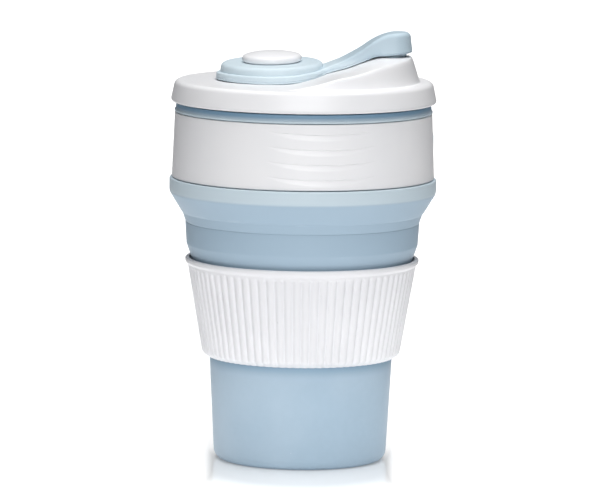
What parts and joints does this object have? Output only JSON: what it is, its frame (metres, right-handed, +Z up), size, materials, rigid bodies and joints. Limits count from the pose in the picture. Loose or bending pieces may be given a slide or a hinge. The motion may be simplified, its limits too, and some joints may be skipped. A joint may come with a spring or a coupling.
{
  "type": "collapsible travel cup",
  "caption": "Collapsible travel cup: soft cup of nested rings that folds flat, hard collar, ribbed grip sleeve, press-on lid and a strap stopper over its spout.",
  "frame": {"origin": "centre of the base, on the surface the cup stands on, with the cup open", "axes": "+Z up along the cup's axis, +X towards the lid's spout, -Y the side with the collar's front grip grooves, which are turned 9 degrees from it"},
  "size_m": [0.0934, 0.0934, 0.151],
  "materials": {
    "cup_silicone": "smooth matt silicone, dusty blue",
    "stopper_silicone": "smooth matt silicone, light blue",
    "badge_silicone": "smooth matt silicone, light blue",
    "collar_plastic": "satin moulded polypropylene, white",
    "sleeve_plastic": "satin ribbed polypropylene, white",
    "lid_plastic": "satin moulded polypropylene, white",
    "button_plastic": "satin moulded polypropylene, white"
  },
  "bodies": {
    "base": {"lower_cup": "cup_silicone", "fold_wall_lower": "cup_silicone"},
    "lower_ring": {"ring_lower": "cup_silicone", "fold_wall_middle": "cup_silicone"},
    "middle_ring": {"ring_middle": "cup_silicone", "fold_wall_upper": "cup_silicone"},
    "sleeve": {"sleeve": "sleeve_plastic"},
    "rim": {"cup_rim": "cup_silicone", "collar": "collar_plastic", "collar_badge": "badge_silicone"},
    "lid": {"lid": "lid_plastic", "strap_ring": "stopper_silicone", "button": "button_plastic", "button_retainer": "button_plastic"},
    "stopper": {"stopper": "stopper_silicone"}
  },
  "joints": [
    {"name": "fold_lower", "type": "slide", "parent": "base", "child": "lower_ring", "axis": [0, 0, -1], "range_m": [0, 0.0144], "deforming": ["fold_wall_lower"]},
    {"name": "fold_middle", "type": "slide", "parent": "lower_ring", "child": "middle_ring", "axis": [0, 0, -1], "range_m": [0, 0.0218], "deforming": ["fold_wall_middle"]},
    {"name": "fold_upper", "type": "slide", "parent": "middle_ring", "child": "rim", "axis": [0, 0, -1], "range_m": [0, 0.021], "deforming": ["fold_wall_upper"]},
    {"name": "sleeve_slide", "type": "slide", "parent": "middle_ring", "child": "sleeve", "axis": [0, 0, 1], "range_m": [-0.036, 0]},
    {"name": "lid_lift", "type": "slide", "parent": "rim", "child": "lid", "axis": [0, 0, 1], "range_m": [0, 0.03]},
    {"name": "stopper_hinge", "type": "hinge", "parent": "lid", "child": "stopper", "pos_m": [0.0084, 0, 0.1404], "axis": [0, -1, 0], "range_deg": [0, 100], "stiffness_Nm_per_rad": 0.002}
  ]
}
